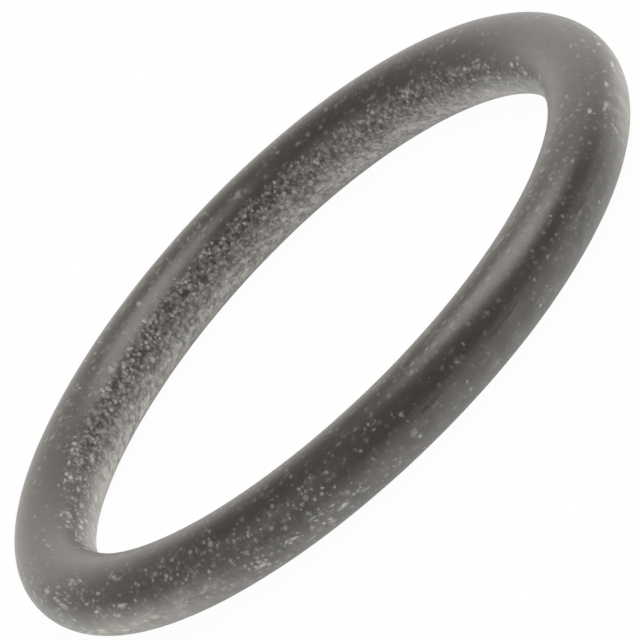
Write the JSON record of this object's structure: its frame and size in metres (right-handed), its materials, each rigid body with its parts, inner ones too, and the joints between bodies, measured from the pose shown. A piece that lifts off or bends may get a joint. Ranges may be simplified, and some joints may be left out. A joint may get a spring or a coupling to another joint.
{
  "type": "rubber o-ring",
  "caption": "Round-section rubber sealing ring, moulded in one piece, with a fine parting line on its inside and outside; it seals a shaft, a bore or a flanged joint.",
  "frame": {"origin": "centre of the ring, on the plane of the mould's parting line", "axes": "+Z along the ring's own axis, upwards as the ring lies flat; X and Y lie in the plane of the ring, which is the same all round"},
  "size_m": [0.0256, 0.0256, 0.0026],
  "materials": {
    "rubber": "satin moulded rubber, dusted with fine pale talc"
  },
  "bodies": {
    "root": {"o_ring": "rubber"}
  },
  "joints": []
}
